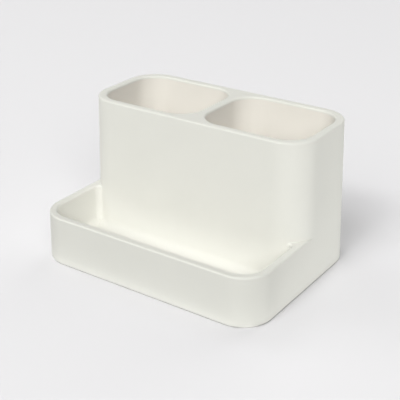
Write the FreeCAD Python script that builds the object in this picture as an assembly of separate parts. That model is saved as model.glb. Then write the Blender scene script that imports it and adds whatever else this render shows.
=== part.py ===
import FreeCAD, Part
import math
import os

# A countertop vanity organizer: a two-cup tower at the back and a low open tray in front,
# moulded in matte cream plastic with hollow double walls. All sizes are in millimetres.
# The frame's origin is on the surface that the feet stand on, below the middle of the foot print.
# +X is to the right, +Y to the back and +Z up. The tray is on the -Y side.

# Overall form. Width, depths and the corner radius are measured at the foot of the walls.
body_width = 190.0
body_depth = 140.0
tower_depth = 82.0
overall_height = 111.0
tray_rim_height = 38.0
corner_radius = 22.5
wall_draft_deg = 1.2
base_edge_radius = 1.2

# Walls and rims
wall_width = 6.0
divider_width = 6.6
skin = 2.0
rim_outer_radius = 1.4
rim_inner_radius = 1.6

# Tray well
tray_floor_height = 6.6
tray_corner_radius = 16.0
tray_cove_radius = 6.0
tower_join_radius = 4.0

# Cups and their liners
cup_corner_radius = 18.5
cup_floor_height = 8.6
cup_floor_radius = 7.0
liner_wall = 1.8
liner_draft_deg = 1.2
collar_depth = 4.0
collar_clearance = 0.25
web_thickness = 2.0
web_gap = 1.0
bury = 0.3

# Base plate
plate_thickness = 2.0
plate_clearance = 0.25
lip_thickness = 1.6
lip_height = 3.6
seat_thickness = 1.6
seat_inset = 12.0

# Front hooks: ledges inside the casing, and tongues on the plate that reach over them
hook_spacing = 62.0
hook_width = 12.0
hook_clearance = 0.2
ledge_width = 14.0
ledge_reach = 1.4
ledge_thickness = 1.2
tongue_thickness = 1.5
tongue_post_thickness = 1.6

# Screws, the raised cups in the plate that their heads sink into, and the casing's bosses
screw_length = 8.0
screw_core_diameter = 2.0
screw_tip_length = 1.5
screw_head_diameter = 4.6
screw_head_height = 1.8
screw_slot_length = 2.8
screw_slot_width = 0.7
screw_slot_depth = 0.9
screw_hole_diameter = 2.9
screw_column_spacing = 112.0
screw_edge_wall = 0.8
recess_diameter = 5.2
recess_depth = 2.2
recess_wall = 1.2
boss_diameter = 5.0
boss_hole_diameter = 2.1
boss_hole_spare = 1.0
boss_roof = 1.6
boss_rib_thickness = 2.0

# Feet
foot_diameter = 12.0
foot_proud = 0.4
foot_seat_depth = 0.8
foot_edge_radius = 0.4
foot_clearance = 0.1
foot_inset = 21.0

# Heights that follow from these
body_bottom = foot_proud
plate_top = body_bottom + plate_thickness
roof_underside = overall_height - skin
liner_bottom = cup_floor_height - liner_wall
screw_seat = body_bottom + recess_depth
boss_bottom = screw_seat + plate_thickness
screw_tip = screw_seat + screw_length
boss_top = screw_tip + boss_hole_spare + boss_roof

wall_slope = math.tan(math.radians(wall_draft_deg))
liner_slope = math.tan(math.radians(liner_draft_deg))
everywhere = (-body_width, body_width)

Vec = FreeCAD.Vector
UP = Vec(0, 0, 1)


# Helpers


def box(x, y, z):
    """A box from three (low, high) pairs."""
    solid = Part.makeBox(x[1] - x[0], y[1] - y[0], z[1] - z[0])
    solid.translate(Vec(x[0], y[0], z[0]))
    return solid


def cylinder(diameter, x, y, low, high):
    """An upright cylinder from its diameter, its centre and its two ends."""
    return Part.makeCylinder(diameter / 2, high - low, Vec(x, y, low), UP)


def round_edges(solid, radius, wanted):
    """Round every edge for which wanted(edge) is true."""
    return solid.makeFillet(radius, [edge for edge in solid.Edges if wanted(edge)])


def is_upright(edge):
    """True for an edge that climbs between two levels."""
    return edge.BoundBox.ZLength > 1e-6


def lies_at(edge, z):
    """True for an edge that lies level at height z."""
    return edge.BoundBox.ZLength < 1e-6 and abs(edge.BoundBox.ZMin - z) < 1e-6


def leaning_block(bounds_at, low, high, radius=0.0):
    """A block with plane leaning walls between two heights. A radius rounds its upright corners.

    bounds_at(z) gives (x0, x1, y0, y1) and changes evenly with z."""
    levels = []
    for z in (low, high):
        x0, x1, y0, y1 = bounds_at(z)
        levels.append([Vec(x0, y0, z), Vec(x1, y0, z), Vec(x1, y1, z), Vec(x0, y1, z)])
    bottom, top = levels
    loops = [bottom[::-1], top]
    for i in range(4):
        j = (i + 1) % 4
        loops.append([bottom[i], bottom[j], top[j], top[i]])
    faces = [Part.Face(Part.makePolygon(loop + loop[:1])) for loop in loops]
    block = Part.makeSolid(Part.makeShell(faces))
    return round_edges(block, radius, is_upright) if radius else block


def mirrored(solid):
    """The same solid on the other side of the middle plane."""
    return solid.mirror(Vec(0, 0, 0), Vec(1, 0, 0))


def both_sides(solid):
    """A solid and its mirror image, as a list."""
    return [solid, mirrored(solid)]


def one_solid(shape):
    """The single solid that a shape holds, with split faces merged."""
    solids = shape.removeSplitter().Solids
    if len(solids) != 1:
        raise ValueError(f"expected one solid, got {len(solids)}")
    return solids[0]


# Outlines: each gives (x0, x1, y0, y1) at a height, moved inward by a wall or a clearance


def wall_inset(z):
    """How far the outer walls have leaned in at height z."""
    return (z - body_bottom) * wall_slope


def body_bounds(z, inward=0.0):
    """The whole body's outline."""
    side = body_width / 2 - wall_inset(z) - inward
    end = body_depth / 2 - wall_inset(z) - inward
    return -side, side, -end, end


def tower_bounds(z, inward=0.0):
    """The tower's outline. Its front leans back as the other walls lean in."""
    x0, x1, _, y1 = body_bounds(z, inward)
    return x0, x1, tower_front(z) + inward, y1


def tower_front(z):
    """Where the plane of the tower's front is at height z. It leans back as it rises."""
    return body_depth / 2 - tower_depth + wall_inset(z)


def well_bounds(z, inward=0.0):
    """The tray well's outline between its walls. It narrows towards its floor.

    It runs back under the tower, whose front closes it."""
    x0, x1, y0, _ = body_bounds(tray_rim_height)
    inset = wall_width + (tray_rim_height - z) * wall_slope + inward
    return x0 + inset, x1 - inset, y0 + inset, body_depth / 2


def cup_bounds(z, inward=0.0):
    """The right cup's outline. It narrows towards its floor."""
    _, x1, y0, y1 = tower_bounds(overall_height, wall_width)
    inset = (roof_underside - z) * liner_slope + inward
    return divider_width / 2 + inset, x1 - inset, y0 + inset, y1 - inset


def within(edge, bounds):
    """True for an edge that stays inside an outline."""
    x0, x1, y0, y1 = bounds
    extent = edge.BoundBox
    across = x0 - 1e-3 < extent.XMin and extent.XMax < x1 + 1e-3
    return across and y0 - 1e-3 < extent.YMin and extent.YMax < y1 + 1e-3


# The tray's solids end inside the tower, half way along its straight sides
tray_end = body_depth / 2 - tower_depth / 2


def in_front(solid):
    """The part of a solid that lies in front of the tray's end."""
    return solid.common(box(everywhere, (-body_depth, tray_end), (-body_bottom, 2 * overall_height)))


def is_tray_edge(edge, z):
    """True for a level edge at height z that isn't on the tray's cut end."""
    return lies_at(edge, z) and edge.BoundBox.YMin < tray_end - 1e-3


# The outer form, still solid


def round_tower_rim(tower):
    """The tower's outer form with the outer round of its rim."""
    return round_edges(tower, rim_outer_radius, lambda edge: lies_at(edge, overall_height))


def make_well(inward, floor, cove_radius, radius):
    """The tray well, or with a negative inward the outside of its walls."""
    top = tray_rim_height + wall_width
    well = leaning_block(lambda z: well_bounds(z, inward), floor, top, radius)
    well = round_edges(well, cove_radius, lambda edge: lies_at(edge, floor))
    return in_front(well)


def make_tower_cove(well, tower):
    """The cove where the tower's front meets the tray floor."""
    layer = (tray_floor_height, tray_floor_height + 2 * tray_cove_radius)
    around = box(everywhere, everywhere, layer).cut(tower)
    foot = tower_bounds(tray_floor_height)
    coved = round_edges(
        around,
        tray_cove_radius,
        lambda edge: lies_at(edge, tray_floor_height) and within(edge, foot),
    )
    return around.cut(coved).common(well)


def make_corner_fill(tower):
    """What rounds the sharp upright grooves between the tray's walls and the tower's corners."""
    top = tray_rim_height + wall_width
    grooved = in_front(leaning_block(well_bounds, tray_floor_height, top, tray_corner_radius)).cut(tower)
    rounded = round_edges(
        grooved,
        tower_join_radius,
        lambda edge: is_upright(edge) and edge.BoundBox.YMin > tower_front(tray_rim_height),
    )
    return grooved.cut(rounded)


def make_tray(tower):
    """The tray's outer form with its well and the two rounds of its rim."""
    well = make_well(0.0, tray_floor_height, tray_cove_radius, tray_corner_radius)
    space = well.cut([tower, make_tower_cove(well, tower), make_corner_fill(tower)])
    block = in_front(leaning_block(body_bounds, body_bottom, tray_rim_height, corner_radius))
    block = round_edges(block, rim_outer_radius, lambda edge: is_tray_edge(edge, tray_rim_height))
    mouth = well_bounds(tray_rim_height)
    return round_edges(
        block.cut(space),
        rim_inner_radius,
        lambda edge: is_tray_edge(edge, tray_rim_height) and within(edge, mouth),
    )


def make_body():
    """The whole outer form: tray and tower with the rounded bottom edge."""
    tower = leaning_block(tower_bounds, body_bottom, overall_height, corner_radius)
    body = one_solid(make_tray(tower).fuse(round_tower_rim(tower)))
    return round_edges(body, base_edge_radius, lambda edge: lies_at(edge, body_bottom))


# Places of the screws, hooks and feet


def screw_places():
    """Screw centres, each with the direction of the wall that carries its boss.

    Two are on the back wall, two on the tower's front wall and one on each side."""
    inward = skin + plate_clearance + screw_edge_wall + recess_diameter / 2
    x0, x1, y0, y1 = tower_bounds(boss_bottom, inward)
    column = screw_column_spacing / 2
    middle = (y0 + y1) / 2
    back = [(x, y1, Vec(0, 1, 0)) for x in (-column, column)]
    front = [(x, y0, Vec(0, -1, 0)) for x in (-column, column)]
    return back + front + [(x0, middle, Vec(-1, 0, 0)), (x1, middle, Vec(1, 0, 0))]


def hook_places():
    """The hooks' middles along the front wall."""
    return [-hook_spacing, 0.0, hook_spacing]


def foot_places():
    """The feet's names and centres."""
    x = body_width / 2 - foot_inset
    y = body_depth / 2 - foot_inset
    return {
        "foot_front_left": (-x, -y),
        "foot_front_right": (x, -y),
        "foot_rear_left": (-x, y),
        "foot_rear_right": (x, y),
    }


# Casing


def make_void():
    """The hollow inside the casing, open at the bottom, without the web between the cups."""
    low = -body_bottom
    radius = corner_radius - skin
    collar_bottom = roof_underside - collar_depth
    around_tray = in_front(
        leaning_block(lambda z: body_bounds(z, skin), low, tray_rim_height - skin, radius)
    )
    well_walls = make_well(
        -skin,
        tray_floor_height - skin,
        tray_cove_radius + skin,
        tray_corner_radius + skin,
    )
    in_tower = leaning_block(lambda z: tower_bounds(z, skin), low, collar_bottom, radius)
    outside = collar_clearance + liner_wall
    collar = leaning_block(
        lambda z: cup_bounds(z, -outside),
        collar_bottom - collar_depth,
        roof_underside,
        cup_corner_radius + outside,
    )
    web = box(
        (-web_thickness / 2, web_thickness / 2),
        tower_bounds(body_bottom)[2:],
        (plate_top + web_gap, collar_bottom),
    )
    void = around_tray.cut(well_walls).fuse([in_tower] + both_sides(collar))
    return void.cut(web)


def make_boss(x, y, wall):
    """A screw boss with the rib that ties it to its wall."""
    boss = cylinder(boss_diameter, x, y, boss_bottom, boss_top)
    reach = plate_clearance + screw_edge_wall + recess_diameter / 2 + bury
    rib = box((-boss_rib_thickness / 2, boss_rib_thickness / 2), (0, reach), (boss_bottom, boss_top))
    rib.rotate(Vec(0, 0, 0), UP, math.degrees(math.atan2(-wall.x, wall.y)))
    rib.translate(Vec(x, y, 0))
    return boss.fuse(rib)


def make_ledge(x):
    """A ledge on the inside of the front wall, which a tongue of the plate hooks over."""
    wall = body_bounds(plate_top, skin)[2]
    low = plate_top + hook_clearance
    return box(
        (x - ledge_width / 2, x + ledge_width / 2),
        (wall - bury, wall + ledge_reach),
        (low, low + ledge_thickness),
    )


def make_casing(body):
    """The casing: one moulding with the outer walls, the rims, the tray and the cups' mouths."""
    places = screw_places()
    ribs = [make_boss(x, y, wall) for x, y, wall in places]
    ribs += [make_ledge(x) for x in hook_places()]
    holes = [cylinder(boss_hole_diameter, x, y, 0, boss_top - boss_roof) for x, y, _ in places]
    mouth = leaning_block(
        lambda z: cup_bounds(roof_underside),
        roof_underside - collar_depth / 2,
        overall_height + skin,
        cup_corner_radius,
    )
    casing = one_solid(body.cut(make_void()).fuse(ribs).cut(holes + both_sides(mouth)))
    rim = tower_bounds(overall_height, wall_width - bury)
    return one_solid(round_edges(
        casing,
        rim_inner_radius,
        lambda edge: lies_at(edge, overall_height) and within(edge, rim),
    ))


# Cup liners


def make_right_liner():
    """The right cup: a thin leaning shell, open at the top, with a rounded floor edge."""
    outside = leaning_block(
        lambda z: cup_bounds(z, -liner_wall),
        liner_bottom,
        roof_underside,
        cup_corner_radius + liner_wall,
    )
    outside = round_edges(
        outside,
        cup_floor_radius + liner_wall,
        lambda edge: lies_at(edge, liner_bottom),
    )
    inside = leaning_block(cup_bounds, cup_floor_height, overall_height, cup_corner_radius)
    inside = round_edges(inside, cup_floor_radius, lambda edge: lies_at(edge, cup_floor_height))
    return one_solid(outside.cut(inside))


# Base plate


def make_lip(inside):
    """The upstanding edge that centres the plate in the casing."""
    inward = skin + plate_clearance + lip_thickness
    core = leaning_block(
        lambda z: body_bounds(z, inward),
        body_bottom,
        plate_top + 2 * lip_height,
        corner_radius - inward,
    )
    lip = inside.cut(core).common(box(everywhere, everywhere, (plate_top, plate_top + lip_height)))
    notch = ledge_width / 2 + hook_clearance
    wall = body_bounds(plate_top)[2]
    gaps = [
        box((x - notch, x + notch), (wall, wall + 2 * inward), (plate_top, boss_top))
        for x in hook_places()
    ]
    around = recess_diameter + 2 * recess_wall
    gaps += [cylinder(around, x, y, plate_top, boss_top) for x, y, _ in screw_places()]
    beside_web = web_thickness / 2 + plate_clearance
    back = body_bounds(plate_top)[3]
    gaps.append(box((-beside_web, beside_web), (back - 2 * inward, back), (plate_top, boss_top)))
    return lip.cut(gaps)


def make_seat():
    """The standing ring that carries the right cup's floor."""
    outline = cup_bounds(liner_bottom, seat_inset - liner_wall)
    x0, x1, y0, y1 = outline
    radius = cup_corner_radius + liner_wall - seat_inset
    ring = leaning_block(lambda z: outline, plate_top, liner_bottom, radius)
    inner = (x0 + seat_thickness, x1 - seat_thickness, y0 + seat_thickness, y1 - seat_thickness)
    hole = leaning_block(lambda z: inner, plate_top, liner_bottom, radius - seat_thickness)
    return ring.cut(hole)


def make_tongue(x):
    """A hook on the plate's front edge: a post with a tongue that reaches over a ledge."""
    wall = body_bounds(plate_top, skin)[2]
    post_front = wall + ledge_reach + hook_clearance
    post_back = post_front + tongue_post_thickness
    low = plate_top + 2 * hook_clearance + ledge_thickness
    across = (x - hook_width / 2, x + hook_width / 2)
    post = box(across, (post_front, post_back), (plate_top, low + tongue_thickness))
    tongue = box(across, (wall + plate_clearance, post_back), (low, low + tongue_thickness))
    return post.fuse(tongue)


def make_base_plate(body):
    """The plate that closes the underside, with everything that stands on it."""
    inward = skin + plate_clearance
    inside = leaning_block(
        lambda z: body_bounds(z, inward),
        body_bottom,
        plate_top + 2 * lip_height,
        corner_radius - inward,
    )
    under_tower = leaning_block(
        lambda z: tower_bounds(z, inward),
        body_bottom,
        boss_top,
        corner_radius - inward,
    )
    slab = inside.common(box(everywhere, everywhere, (body_bottom, plate_top)))
    places = screw_places()
    around = recess_diameter + 2 * recess_wall
    cups = [cylinder(around, x, y, body_bottom, boss_bottom) for x, y, _ in places]
    raised = [make_lip(inside)] + both_sides(make_seat()) + [cup.common(under_tower) for cup in cups]
    raised += [make_tongue(x) for x in hook_places()]
    seat_diameter = foot_diameter + 2 * foot_clearance
    seat_top = body_bottom + foot_seat_depth
    holes = [cylinder(recess_diameter, x, y, 0, screw_seat) for x, y, _ in places]
    holes += [cylinder(screw_hole_diameter, x, y, 0, boss_bottom) for x, y, _ in places]
    holes += [cylinder(seat_diameter, x, y, 0, seat_top) for x, y in foot_places().values()]
    return one_solid(slab.fuse(raised).common(body).cut(holes))


# Screws and feet


def make_screw(x, y):
    """A self-tapping screw, head down, with a cross slot. Its thread is left out."""
    head = cylinder(screw_head_diameter, x, y, screw_seat - screw_head_height, screw_seat)
    shank = cylinder(screw_core_diameter, x, y, screw_seat, screw_tip - screw_tip_length)
    point = Part.makeCone(
        screw_core_diameter / 2,
        screw_core_diameter / 8,
        screw_tip_length,
        Vec(x, y, screw_tip - screw_tip_length),
        UP,
    )
    long, wide = screw_slot_length / 2, screw_slot_width / 2
    slot = (screw_seat - screw_head_height, screw_seat - screw_head_height + screw_slot_depth)
    cross = [
        box((x - long, x + long), (y - wide, y + wide), slot),
        box((x - wide, x + wide), (y - long, y + long), slot),
    ]
    return one_solid(head.fuse([shank, point]).cut(cross))


def make_foot(x, y):
    """A round rubber pad with a softened lower edge."""
    pad = cylinder(foot_diameter, x, y, 0, body_bottom + foot_seat_depth)
    return one_solid(round_edges(pad, foot_edge_radius, lambda edge: lies_at(edge, 0)))


def main():
    body = make_body()
    liner = make_right_liner()
    nodes = {
        "outer_casing": make_casing(body),
        "left_cup_liner": mirrored(liner),
        "right_cup_liner": liner,
        "base_plate": make_base_plate(body),
        "base_screws": Part.makeCompound([make_screw(x, y) for x, y, _ in screw_places()]),
    }
    for name, (x, y) in foot_places().items():
        nodes[name] = make_foot(x, y)
    os.makedirs("parts", exist_ok=True)
    for name, shape in nodes.items():
        extent = shape.BoundBox
        print(
            f"{name}: {len(shape.Solids)} solid(s), {shape.Volume / 1000:.2f} cm3, valid {shape.isValid()},"
            f" z {extent.ZMin:.2f} to {extent.ZMax:.2f}"
        )
        shape.exportStep(f"parts/{name}.step")


main()
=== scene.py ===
# %% [markdown]
# # A vanity organizer in matte plastic
# The real object is a countertop organizer: a tall block with two deep cups, and a low tray
# in front of it. It is moulded in warm white plastic with hollow double walls and rolled rims.
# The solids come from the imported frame. This lesson gives each piece its finish, adds the
# small hardware underneath, and sets up a soft pale studio around it.

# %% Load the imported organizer
import bpy
import math
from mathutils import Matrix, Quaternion, Vector


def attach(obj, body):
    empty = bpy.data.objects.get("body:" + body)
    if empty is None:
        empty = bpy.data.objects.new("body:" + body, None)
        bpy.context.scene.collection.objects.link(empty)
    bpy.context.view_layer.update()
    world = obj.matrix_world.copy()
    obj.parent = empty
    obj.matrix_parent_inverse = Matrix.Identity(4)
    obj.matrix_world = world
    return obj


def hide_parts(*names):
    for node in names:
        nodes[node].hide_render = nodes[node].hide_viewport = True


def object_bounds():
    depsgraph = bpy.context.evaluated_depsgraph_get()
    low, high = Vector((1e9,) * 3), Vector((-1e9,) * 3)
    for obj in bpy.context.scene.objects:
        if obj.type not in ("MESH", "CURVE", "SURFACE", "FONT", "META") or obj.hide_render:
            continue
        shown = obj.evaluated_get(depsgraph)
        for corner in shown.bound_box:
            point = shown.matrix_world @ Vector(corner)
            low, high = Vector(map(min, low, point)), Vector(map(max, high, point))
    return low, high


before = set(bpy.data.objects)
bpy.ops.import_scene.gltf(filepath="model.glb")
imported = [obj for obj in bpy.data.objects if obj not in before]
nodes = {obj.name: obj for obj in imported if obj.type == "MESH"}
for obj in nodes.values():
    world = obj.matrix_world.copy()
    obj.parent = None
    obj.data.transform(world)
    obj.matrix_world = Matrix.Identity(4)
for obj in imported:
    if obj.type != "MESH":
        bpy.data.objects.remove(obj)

CAD_BOX = [list(corner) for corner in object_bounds()]
print("CAD box in metres:", CAD_BOX)

# %% Units and colours
MM = 0.001


def linear(hex_colour):
    """Turn an sRGB hex colour such as "#E8E6DC" into linear RGBA, by the curve of the sRGB standard."""
    values = [int(hex_colour[i:i + 2], 16) / 255 for i in (1, 3, 5)]
    straight = [v / 12.92 if v <= 0.04045 else ((v + 0.055) / 1.055) ** 2.4 for v in values]
    return (*straight, 1.0)


WHITE = linear("#FFFFFF")
print("white in linear light:", WHITE)

# %% Things put in the scene


def put_in_scene(name, data):
    """Make an object of some data and put it in the scene."""
    thing = bpy.data.objects.new(name, data)
    bpy.context.scene.collection.objects.link(thing)
    return thing


# %% [markdown]
# ## Materials
# A finish is a small network of nodes. One helper adds a node, sets it and wires its inputs.

# %% Node helper
MATH = "ShaderNodeMath"
VECTOR_MATH = "ShaderNodeVectorMath"
MAP_RANGE = "ShaderNodeMapRange"
FROM_XYZ = "ShaderNodeCombineXYZ"


def wire(node, inputs):
    """Fill a node's inputs, which are given by name or in order.

    Another node is linked by its first output, an output socket as it is, and a list one by one.
    """
    pairs = inputs.items() if isinstance(inputs, dict) else enumerate(inputs)
    for name, value in pairs:
        for source in value if isinstance(value, list) else [value]:
            if isinstance(source, bpy.types.Node):
                source = source.outputs[0]
            if isinstance(source, bpy.types.NodeSocket):
                node.id_data.links.new(source, node.inputs[name])
            else:
                node.inputs[name].default_value = source


def add(tree, kind, inputs=(), **settings):
    """Add a node with its settings, and fill its inputs."""
    node = tree.nodes.new(kind)
    for name, value in settings.items():
        setattr(node, name, value)
    wire(node, inputs)
    return node


def new_material(name):
    """Make an empty node material, and give it back with its tree and its Principled shader."""
    material = bpy.data.materials.new(name)
    material.use_nodes = True
    return material, material.node_tree, material.node_tree.nodes["Principled BSDF"]


# %% [markdown]
# Real surfaces are never one flat colour with one gloss. A picture of such a surface could be
# wrapped around the body, but it would need unwrapping and would stretch round the corners.
# Noise in the object's own space keeps one scale everywhere and is set in millimetres.

# %% Patterns in the object's own space
NOISE_DETAIL = 2.0
# Nearly all of the noise lies between these two values
NOISE_LOW = 0.3
NOISE_HIGH = 0.7


def speckle(tree, size, detail=NOISE_DETAIL):
    """Soft noise with spots of about this size. It stays between 0 and 1."""
    place = add(tree, "ShaderNodeTexCoord").outputs["Object"]
    return add(tree, "ShaderNodeTexNoise", {"Vector": place, "Scale": 1 / size, "Detail": detail})


def cloudy(tree, size, low, high, detail=NOISE_DETAIL):
    """Spots of a size that range from a low value to a high one."""
    pattern = speckle(tree, size, detail)
    return add(tree, MAP_RANGE, (pattern, NOISE_LOW, NOISE_HIGH, low, high))


def mottled(tree, size, dark, light, detail=NOISE_DETAIL):
    """Spots of a size that go from one colour to another."""
    pattern = cloudy(tree, size, 0.0, 1.0, detail)
    tones = {"Factor": pattern, "A": linear(dark), "B": linear(light)}
    return add(tree, "ShaderNodeMix", tones, data_type="RGBA").outputs["Result"]


def grained(tree, size, depth):
    """Bumps of a size that stand out from the surface by a depth."""
    return add(tree, "ShaderNodeBump", {"Height": speckle(tree, size), "Distance": depth})


# %% [markdown]
# The casing leaves a mould whose steel was eroded by sparks, which prints a fine even grain into
# the plastic and takes its gloss away. The cups come off a smoother core. The plate underneath
# is made of reground plastic with a coarse dull grain, as a part that is never seen is made.
# Real mould grain is about a tenth of a millimetre. It is drawn three times coarser here, so that
# a close view shows it.

# %% Moulded plastics
PLASTIC_IOR = 1.49
PLASTIC_SPECULAR = 0.25
FLOW_SIZE = 35 * MM
POLISH_SIZE = 9 * MM


def moulded_plastic(name, dark, light, roughness, grain, depth):
    """Plastic between two close tones, with a mould grain of a size and depth."""
    material, tree, shader = new_material(name)
    wire(shader, {
        "IOR": PLASTIC_IOR,
        "Specular IOR Level": PLASTIC_SPECULAR,
        # The pigment never mixes quite evenly, so broad areas differ by a hair's breadth of tone
        "Base Color": mottled(tree, FLOW_SIZE, dark, light),
        # Handling rubs some places smoother, which breaks up the sheen on the rolled rims
        "Roughness": cloudy(tree, POLISH_SIZE, *roughness),
        # The pits of the grain scatter the light, so that edges look soft and nothing mirrors in them
        "Normal": grained(tree, grain, depth),
    })
    return material


# Warm white with a satin sheen: the outer walls, the tray and all the rims
shell_plastic = moulded_plastic(
    "satin moulded plastic",
    dark="#EDECE8",
    light="#EFEEEA",
    roughness=(0.54, 0.62),
    grain=0.35 * MM,
    depth=0.004 * MM,
)
# A shade warmer and smoother, so that the cups glow cream where their walls light each other
liner_plastic = moulded_plastic(
    "smooth moulded plastic",
    dark="#F1EDE8",
    light="#F3EFEA",
    roughness=(0.46, 0.54),
    grain=0.25 * MM,
    depth=0.002 * MM,
)
# Duller, greener and more uneven, which sets the plate off from the casing around it
base_plastic = moulded_plastic(
    "matte moulded plastic",
    dark="#E4E3D8",
    light="#EAE9E0",
    roughness=(0.6, 0.7),
    grain=0.6 * MM,
    depth=0.02 * MM,
)
print("plastics:", [plastic.name for plastic in (shell_plastic, liner_plastic, base_plastic)])

# %% [markdown]
# The pads are cut from a sheet of filled rubber, dull and faintly mottled. The screws are zinc
# plated steel: a cool grey metal whose sheen is cloudy because the plating grows in patches.
# Both use the patterns of the plastics, with their own sizes.

# %% Rubber
RUBBER_ROUGHNESS = 0.85
RUBBER_SPECULAR = 0.3
FLECK_SIZE = 0.3 * MM
FLECK_DETAIL = 4.0
TOOTH_SIZE = 0.5 * MM
TOOTH_DEPTH = 0.02 * MM

pad_rubber, rubber_tree, rubber_shader = new_material("grey pad rubber")
wire(rubber_shader, {
    "Roughness": RUBBER_ROUGHNESS,
    "Specular IOR Level": RUBBER_SPECULAR,
    # Chalk in the mix shows as fine pale flecks, which tells rubber from plastic close up
    "Base Color": mottled(rubber_tree, FLECK_SIZE, "#B4B2AD", "#C6C4BF", FLECK_DETAIL),
    # The cut sheet has a slight tooth, so it never shines
    "Normal": grained(rubber_tree, TOOTH_SIZE, TOOTH_DEPTH),
})
print("rubber:", pad_rubber.name)

# %% Steel
PATCH_SIZE = 1.2 * MM
CLOUD_SIZE = 0.8 * MM
CLOUD_ROUGHNESS = (0.28, 0.42)

screw_steel, steel_tree, steel_shader = new_material("zinc plated steel")
wire(steel_shader, {
    "Metallic": 1.0,
    # Cool grey with a breath of blue, the colour of a clear passivated zinc
    "Base Color": mottled(steel_tree, PATCH_SIZE, "#AFB1B6", "#C3C4C6"),
    # Cloudy patches keep the heads from looking chromed
    "Roughness": cloudy(steel_tree, CLOUD_SIZE, *CLOUD_ROUGHNESS),
})
print("steel:", screw_steel.name)

# %% Give the solids their finishes
FINISHES = {
    "outer_casing": shell_plastic,
    "left_cup_liner": liner_plastic,
    "right_cup_liner": liner_plastic,
    "base_plate": base_plastic,
    "base_screws": screw_steel,
}
for name, node in nodes.items():
    node.material_slots[0].material = FINISHES.get(name, pad_rubber)
    print(name, "is finished in", node.material_slots[0].material.name)

# %% [markdown]
# ## Screws
# Six thread-forming screws hold the base plate to the bosses of the casing. Each has a pan
# head with a cross recess and a coarse thread that cuts its own way into the plastic. One
# screw could be modelled by hand and copied six times. Geometry Nodes build it from its
# catalogue sizes instead, so that a change of one size changes all six, and put one copy on
# each point of a small mesh that holds the places.

# %% Places of the screws
SCREW_HEAD_WIDTH = 4.6 * MM
# Points closer together than this belong to the same screw
SAME_SCREW_REACH = 1.5 * SCREW_HEAD_WIDTH


def screw_seats(node):
    """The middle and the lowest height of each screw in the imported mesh, gathered point by point."""
    groups = []
    for vertex in node.data.vertices:
        for group in groups:
            if (group[0].xy - vertex.co.xy).length < SAME_SCREW_REACH:
                group.append(vertex.co.copy())
                break
        else:
            groups.append([vertex.co.copy()])
    seats = []
    for group in groups:
        xs, ys, zs = zip(*group)
        seats.append(((min(xs) + max(xs)) / 2, (min(ys) + max(ys)) / 2, min(zs)))
    return seats


seats = screw_seats(nodes["base_screws"])
print(len(seats), "screws, the first at", [round(value / MM, 2) for value in seats[0]], "mm")

# %% Sizes of one screw
SCREW_SIZES = {
    "Head Width": SCREW_HEAD_WIDTH,
    "Head Height": 1.8 * MM,
    "Crown": 0.45 * MM,
    "Core Width": 2.0 * MM,
    "Thread Width": 2.5 * MM,
    "Pitch": 1.1 * MM,
    "Shank Length": 8.0 * MM,
    "Tip Length": 1.5 * MM,
    "Recess Span": 2.8 * MM,
    "Recess Width": 0.7 * MM,
    "Recess Depth": 0.9 * MM,
}
TURN_SEED = 7
print("screw sizes in mm:", {name: round(size / MM, 2) for name, size in SCREW_SIZES.items()})

# %% Tree with its inputs


def tree_with_inputs(name, sizes, seed_name, finish_name):
    """A geometry tree with a named length for each size, a seed and a finish, and those as sockets."""
    tree = bpy.data.node_groups.new(name, "GeometryNodeTree")
    face = tree.interface
    face.new_socket("Geometry", in_out="INPUT", socket_type="NodeSocketGeometry")
    for size in sizes:
        face.new_socket(size, in_out="INPUT", socket_type="NodeSocketFloat")
    face.new_socket(seed_name, in_out="INPUT", socket_type="NodeSocketInt")
    face.new_socket(finish_name, in_out="INPUT", socket_type="NodeSocketMaterial")
    face.new_socket("Geometry", in_out="OUTPUT", socket_type="NodeSocketGeometry")
    return tree, tree.nodes.new("NodeGroupInput").outputs


screw_tree, given = tree_with_inputs("thread-forming screw", SCREW_SIZES, "Turn Seed", "Steel")


def shift_up(tree, shape, height):
    """Move a shape along the screw."""
    offset = add(tree, FROM_XYZ, {"Z": height})
    return add(tree, "GeometryNodeTransform", {"Geometry": shape, "Translation": offset})


print("inputs of the screw:", [socket.name for socket in given if socket.name])

# %% [markdown]
# The head is a short cylinder whose driven face is pushed into a low crown. A ring of faces could
# be modelled for it, but a cylinder with a rule for its height is one node and one formula. Two
# tapered bars are taken out of it for the cross recess, as the punch does it in the real screw.

# %% Head
ROUND_STEPS = 32
CROWN_RINGS = 5
# A crown that rises with the square of the way from the axis is close to a part of a sphere
CROWN_POWER = 2.0

head_radius = add(screw_tree, MATH, (given["Head Width"], 2.0), operation="DIVIDE")
blank = add(screw_tree, "GeometryNodeMeshCylinder", {
    "Vertices": ROUND_STEPS,
    "Fill Segments": CROWN_RINGS,
    "Radius": head_radius,
    "Depth": given["Head Height"],
})
half_height = add(screw_tree, MATH, (given["Head Height"], 2.0), operation="DIVIDE")
blank = shift_up(screw_tree, blank, half_height)
spot = add(screw_tree, "GeometryNodeInputPosition")
spot_parts = add(screw_tree, "ShaderNodeSeparateXYZ", (spot,)).outputs
flat_spot = add(screw_tree, FROM_XYZ, (spot_parts["X"], spot_parts["Y"]))
from_axis = add(screw_tree, VECTOR_MATH, (flat_spot,), operation="LENGTH").outputs["Value"]
outwards = add(screw_tree, MATH, (from_axis, head_radius), operation="DIVIDE")
curve = add(screw_tree, MATH, (outwards, CROWN_POWER), operation="POWER")
rise = add(screw_tree, MATH, (curve, given["Crown"]), operation="MULTIPLY")
driven_face = add(screw_tree, MATH, (spot_parts["Z"], half_height), operation="LESS_THAN")
face_rise = add(screw_tree, MATH, (rise, driven_face), operation="MULTIPLY")
crown = add(screw_tree, FROM_XYZ, {"Z": face_rise})
head = add(screw_tree, "GeometryNodeSetPosition", {"Geometry": blank, "Offset": crown})

# %% Cross recess
RECESS_TAPER = 0.45
QUARTER_TURN = (0, 0, math.radians(90))

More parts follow.
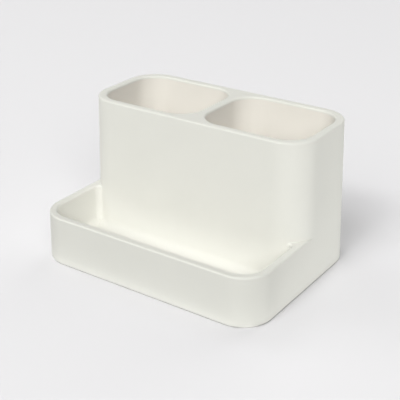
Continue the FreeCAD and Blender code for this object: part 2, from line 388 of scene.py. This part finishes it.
# The bar is twice as deep as the recess, because its middle lies on the driven face
bar_depth = add(screw_tree, MATH, (given["Recess Depth"], 2.0), operation="MULTIPLY")
bar_size = add(screw_tree, FROM_XYZ, (given["Recess Span"], given["Recess Width"], bar_depth))
bar = add(screw_tree, "GeometryNodeMeshCube", {"Size": bar_size})
deep = add(screw_tree, MATH, (spot_parts["Z"], 0.0), operation="GREATER_THAN")
narrowing = add(screw_tree, MATH, (deep, -RECESS_TAPER), operation="MULTIPLY")
inwards = add(screw_tree, MATH, (spot_parts["X"], narrowing), operation="MULTIPLY")
pinch = add(screw_tree, FROM_XYZ, {"X": inwards})
bar = add(screw_tree, "GeometryNodeSetPosition", {"Geometry": bar, "Offset": pinch})
cross_bar = add(screw_tree, "GeometryNodeTransform", {"Geometry": bar, "Rotation": QUARTER_TURN})
punched = add(
    screw_tree,
    "GeometryNodeMeshBoolean",
    {"Mesh 1": head, "Mesh 2": [bar, cross_bar]},
    operation="DIFFERENCE",
)
print("head and recess:", len(screw_tree.nodes), "nodes so far")

# %% [markdown]
# The thread is a helix with a three-cornered profile swept along it, half sunk in the core, so
# that only its ridge stands out. It needn't be joined to the core, which hides where they cross.

# %% Core and tip
# The tip ends in a small flat, this many times narrower than the core
TIP_NARROWING = 4.0

core_radius = add(screw_tree, MATH, (given["Core Width"], 2.0), operation="DIVIDE")
core_length = add(screw_tree, MATH, (given["Shank Length"], given["Tip Length"]), operation="SUBTRACT")
core = add(screw_tree, "GeometryNodeMeshCylinder", {
    "Vertices": ROUND_STEPS,
    "Radius": core_radius,
    "Depth": core_length,
})
half_core = add(screw_tree, MATH, (core_length, 2.0), operation="DIVIDE")
core_middle = add(screw_tree, MATH, (given["Head Height"], half_core), operation="ADD")
core = shift_up(screw_tree, core, core_middle)
tip = add(screw_tree, "GeometryNodeMeshCone", {
    "Vertices": ROUND_STEPS,
    "Radius Top": add(screw_tree, MATH, (core_radius, TIP_NARROWING), operation="DIVIDE"),
    "Radius Bottom": core_radius,
    "Depth": given["Tip Length"],
})
core_end = add(screw_tree, MATH, (given["Head Height"], core_length), operation="ADD")
tip = shift_up(screw_tree, tip, core_end)

# %% Thread
TURN_STEPS = 20
THREAD_CORNERS = 3

helix = add(screw_tree, "GeometryNodeCurveSpiral", {
    "Resolution": TURN_STEPS,
    "Rotations": add(screw_tree, MATH, (core_length, given["Pitch"]), operation="DIVIDE"),
    "Start Radius": core_radius,
    "End Radius": core_radius,
    "Height": core_length,
})
upright = add(screw_tree, "GeometryNodeSetCurveNormal", {"Curve": helix}, mode="Z_UP")
thread_radius = add(screw_tree, MATH, (given["Thread Width"], 2.0), operation="DIVIDE")
ridge = add(screw_tree, MATH, (thread_radius, core_radius), operation="SUBTRACT")
profile = add(screw_tree, "GeometryNodeCurvePrimitiveCircle", {
    "Resolution": THREAD_CORNERS,
    "Radius": ridge,
})
thread = add(screw_tree, "GeometryNodeCurveToMesh", {
    "Curve": upright,
    "Profile Curve": profile,
    "Fill Caps": True,
})
thread = shift_up(screw_tree, thread, given["Head Height"])
print("core, tip and thread:", len(screw_tree.nodes), "nodes so far")

# %% One screw at each place
whole = add(screw_tree, "GeometryNodeJoinGeometry", {"Geometry": [thread, tip, core, punched]})
turn_range = {"Max": math.tau, "Seed": given["Turn Seed"]}
turn = add(screw_tree, "FunctionNodeRandomValue", turn_range, data_type="FLOAT").outputs["Value"]
turned = add(screw_tree, FROM_XYZ, {"Z": turn})
copies = add(screw_tree, "GeometryNodeInstanceOnPoints", {
    "Points": given["Geometry"],
    "Instance": whole,
    "Rotation": turned,
})
real = add(screw_tree, "GeometryNodeRealizeInstances", {"Geometry": copies})
painted = add(screw_tree, "GeometryNodeSetMaterial", {"Geometry": real, "Material": given["Steel"]})
add(screw_tree, "NodeGroupOutput", {"Geometry": painted})
print("whole screw:", len(screw_tree.nodes), "nodes")

# %% Make them one plain mesh
SHARP_ANGLE = math.radians(35)


def run_tree(name, points, tree, values):
    """Put a tree on a mesh of points and return what it makes as a plain object."""
    points_mesh = bpy.data.meshes.new(name + " places")
    points_mesh.from_pydata(points, [], [])
    maker = put_in_scene(name + " maker", points_mesh)
    modifier = maker.modifiers.new("maker", "NODES")
    modifier.node_group = tree
    for socket in tree.interface.items_tree:
        if socket.in_out == "INPUT" and socket.name in values:
            modifier[socket.identifier] = values[socket.name]
    evaluated = maker.evaluated_get(bpy.context.evaluated_depsgraph_get())
    mesh = bpy.data.meshes.new_from_object(evaluated)
    bpy.data.objects.remove(maker)
    mesh.shade_smooth()
    mesh.set_sharp_from_angle(angle=SHARP_ANGLE)
    return put_in_scene(name, mesh)


screws = run_tree("plate_screws", seats, screw_tree, {
    **SCREW_SIZES,
    "Turn Seed": TURN_SEED,
    "Steel": screw_steel,
})
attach(screws, "root")
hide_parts("base_screws")
print("screws:", len(screws.data.polygons), "faces")

# %% [markdown]
# ## Camera
# A product photograph could be matched by eye, but a few degrees of error show at once in the
# rims. The camera's place, tilt and lens were worked out together with the proportions of the
# organizer, so that its edges fall where they do in the photograph.

# %% Camera
AZIMUTH = 34.893
ELEVATION = 25.472
ROLL = math.radians(-0.2925)
DISTANCE = 675.2 * MM
TARGET = Vector((4.535, 0, 46.52)) * MM
SENSOR = 36.0
FOCAL_PIXELS = 917.0
IMAGE_WIDTH = 400
NEAR_LIMIT = 50 * MM


def direction(azimuth, elevation):
    """Where something stands about the organizer. Azimuth 0 is in front and grows to the right."""
    turn, lift = math.radians(azimuth), math.radians(elevation)
    return Vector((
        math.sin(turn) * math.cos(lift),
        -math.cos(turn) * math.cos(lift),
        math.sin(lift),
    ))


backward = direction(AZIMUTH, ELEVATION)
camera_data = bpy.data.cameras.new("studio camera")
camera_data.sensor_fit = "HORIZONTAL"
camera_data.sensor_width = SENSOR
camera_data.lens = FOCAL_PIXELS / IMAGE_WIDTH * SENSOR
camera_data.clip_start = NEAR_LIMIT
camera = put_in_scene("studio camera", camera_data)
camera.location = TARGET + backward * DISTANCE
camera.rotation_mode = "QUATERNION"
camera.rotation_quaternion = Quaternion(backward, ROLL) @ backward.to_track_quat("Z", "Y")
bpy.context.scene.camera = camera
print("camera at", [round(value, 3) for value in camera.location], "in metres")
print("lens:", round(camera_data.lens, 1), "mm")

# %% [markdown]
# ## Studio
# The organizer stands on a pale matte table. Light that bounces off a table is what brightens
# the foot of a white object. A table lit by the lamps alone would bounce the same everywhere, but
# on the real set it was dim in front, on the camera's side, and bright at the sides and behind.
# The table is therefore painted twice. What the camera and mirror-like surfaces see is a matte
# white that takes the shadow. What the soft light between surfaces sees is a glow of its own: a
# bright hem right in front of the organizer, then a dip, then some glow farther out, and plenty
# at the sides and behind. Under the rim of the base it dims, which draws the thin contact line.
# From below the table is clear, so that the underside can be looked at where it stands.

# %% Sizes and strengths of the table
FLOOR_COLOUR = "#C8C7CA"
FLOOR_HALF = 6.0
GLOW_COLOUR = "#FEFFFB"
# Glow at the sides and behind
SIDE_GLOW = 1.06
# Glow far out in front, and how far out it takes to build up
FRONT_GLOW = 0.43
FRONT_REACH = 120 * MM
# Glow of the hem in front, and how far out it dies away
EDGE_GLOW = 1.7
EDGE_REACH = 10.5 * MM
# Depth over which the front pattern gives way to that of the sides
FRONT_BLEND = 15 * MM
# Distances are counted from a line this far inside the edge of the footprint
TUCK = 4 * MM
# Share of the glow that is left in the middle underneath, and in the dim seam under the rim
UNDER_SHARE = 0.7
SEAM_SHARE = 0.3
SEAM_START = 0.5 * TUCK
SEAM_END = 0.7 * TUCK
FULL_GLOW_START = 2 * TUCK

# %% Who sees the table and the air


def seen_directly(tree):
    """1 for the camera and for mirror-like or see-through surfaces, and 0 for soft bounced light."""
    path = add(tree, "ShaderNodeLightPath").outputs
    seen = path["Is Camera Ray"]
    for other in ("Is Glossy Ray", "Is Transmission Ray"):
        seen = add(tree, MATH, (seen, path[other]), operation="MAXIMUM")
    return seen


# %% Glow of the table


def fading(tree, distance, reach):
    """1 at no distance, dying away over a reach."""
    share = add(tree, MATH, (distance, -reach), operation="DIVIDE")
    return add(tree, MATH, (share,), operation="EXPONENT")


def table_glow(tree, size_x, size_y):
    """How strongly each place of the table glows round a footprint of this size."""
    place = add(tree, "ShaderNodeTexCoord").outputs["Object"]
    half = (size_x / 2 - TUCK, size_y / 2 - TUCK, 1.0)
    folded = add(tree, VECTOR_MATH, (place,), operation="ABSOLUTE")
    beyond = add(tree, VECTOR_MATH, (folded, half), operation="SUBTRACT")
    gap = add(tree, VECTOR_MATH, (beyond, (0, 0, 0)), operation="MAXIMUM")
    away = add(tree, VECTOR_MATH, (gap,), operation="LENGTH").outputs["Value"]
    depth = add(tree, "ShaderNodeSeparateXYZ", (place,)).outputs["Y"]

    # A Map Range takes a value, where its range starts and ends, and the results there
    blend = (depth, -size_y / 2, -size_y / 2 + FRONT_BLEND, 0.0, 1.0)
    behind = add(tree, MAP_RANGE, blend, interpolation_type="SMOOTHSTEP")
    hem = add(tree, MATH, (fading(tree, away, EDGE_REACH), EDGE_GLOW), operation="MULTIPLY")
    farther = add(tree, MATH, (1.0, fading(tree, away, FRONT_REACH)), operation="SUBTRACT")
    ahead = add(tree, MATH, (farther, FRONT_GLOW, hem), operation="MULTIPLY_ADD")
    around = add(tree, "ShaderNodeMix", {"Factor": behind, "A": ahead, "B": SIDE_GLOW})
    inner = (away, 0.0, SEAM_START, UNDER_SHARE, SEAM_SHARE)
    beneath = add(tree, MAP_RANGE, inner, interpolation_type="SMOOTHSTEP")
    outer = (away, SEAM_END, FULL_GLOW_START, SEAM_SHARE, 1.0)
    outside = add(tree, MAP_RANGE, outer, interpolation_type="SMOOTHSTEP")
    tucked = add(tree, MATH, (beneath, outside), operation="MAXIMUM")
    return add(tree, MATH, (around, tucked), operation="MULTIPLY")


# %% Finish of the table


def table_finish(size_x, size_y):
    """Matte white to look at, with a glow laid out round a footprint of this size."""
    material, tree, shader = new_material("matte white table")
    # A glow sampled as a lamp would draw the seam of the table's two triangles on the underside
    material.cycles.emission_sampling = "NONE"
    wire(shader, {
        "Base Color": linear(FLOOR_COLOUR),
        "Roughness": 1.0,
        "Specular IOR Level": 0.0,
    })
    glow = table_glow(tree, size_x, size_y)
    bounce = add(tree, "ShaderNodeEmission", {"Strength": glow, "Color": linear(GLOW_COLOUR)})
    from_above = add(tree, "ShaderNodeMixShader", (seen_directly(tree), bounce, shader))
    clear = add(tree, "ShaderNodeBsdfTransparent")
    from_below = add(tree, "ShaderNodeNewGeometry").outputs["Backfacing"]
    one_way = add(tree, "ShaderNodeMixShader", (from_below, from_above, clear))
    wire(tree.nodes["Material Output"], {"Surface": one_way})
    return material


# %% Table
SQUARE = ((-1, -1), (1, -1), (1, 1), (-1, 1))
corners = [(x * FLOOR_HALF, y * FLOOR_HALF, 0) for x, y in SQUARE]
floor_mesh = bpy.data.meshes.new("table")
floor_mesh.from_pydata(corners, [], [(0, 1, 2, 3)])
floor = put_in_scene("table", floor_mesh)
(low_x, low_y, _), (high_x, high_y, _) = CAD_BOX
floor_mesh.materials.append(table_finish(high_x - low_x, high_y - low_y))
print("table:", 2 * FLOOR_HALF, "m wide")

# %% [markdown]
# ## Light
# Broad softboxes in front and at the left keep the walls nearly even, with the strongest at the
# front right. A small one above the front draws the shadow that falls straight back, and one
# behind lights the far rims. They stand far off, so that the light doesn't fade along the walls.
# One big dome of light would be simpler, but it would leave no shadow and no shape. The table has
# lamps of its own: light linking keeps them off the plastic, so that the table and its shadow
# can be made as bright as in the photograph without changing a wall.

# %% Air
# The air around the set is only seen. It gives the object no light of its own
AIR_SEEN = 0.82
world = bpy.data.worlds.new("studio air")
bpy.context.scene.world = world
world.use_nodes = True
air = world.node_tree
air_strength = add(air, MATH, (seen_directly(air), AIR_SEEN), operation="MULTIPLY")
wire(air.nodes["Background"], {"Color": WHITE, "Strength": air_strength})

# %% Softboxes
LAMP_DISTANCE = 10.0
LAMP_AIM = Vector((0, 0, 0.05))
LAMP_COLOUR = linear("#FEFFFA")
BROAD = 5.0
SMALL = 1.6
# Name, azimuth and elevation in degrees, size in metres and power in watts
OBJECT_LAMPS = (
    ("front softbox", 0, 35, BROAD, 245.0),
    ("front right softbox", 45, 35, BROAD, 520.0),
    ("front left softbox", -45, 35, BROAD, 177.0),
    ("high front lamp", 0, 47, SMALL, 139.0),
    ("back softbox", 180, 35, BROAD, 262.0),
    ("left softbox", -90, 35, BROAD, 134.0),
)
TABLE_LAMPS = (
    ("table front softbox", 0, 56, BROAD, 560.0),
    ("table back softbox", 180, 60, BROAD, 150.0),
    ("table side softbox", -110, 50, BROAD, 150.0),
)


def softbox(name, azimuth, elevation, size, power, colour):
    """A square lamp on a sphere about the organizer."""
    lamp_data = bpy.data.lights.new(name, "AREA")
    lamp_data.size = size
    lamp_data.energy = power
    lamp_data.color = colour[:3]
    lamp = put_in_scene(name, lamp_data)
    lamp.location = direction(azimuth, elevation) * LAMP_DISTANCE
    lamp.rotation_mode = "QUATERNION"
    lamp.rotation_quaternion = (lamp.location - LAMP_AIM).to_track_quat("Z", "Y")
    return lamp


table_only = bpy.data.collections.new("table only")
table_only.objects.link(floor)
for place in OBJECT_LAMPS:
    softbox(*place, LAMP_COLOUR)
for place in TABLE_LAMPS:
    softbox(*place, WHITE).light_linking.receiver_collection = table_only
print(len(OBJECT_LAMPS), "lamps for the organizer and", len(TABLE_LAMPS), "for the table alone")

bpy.context.scene.view_settings.view_transform = "Standard"
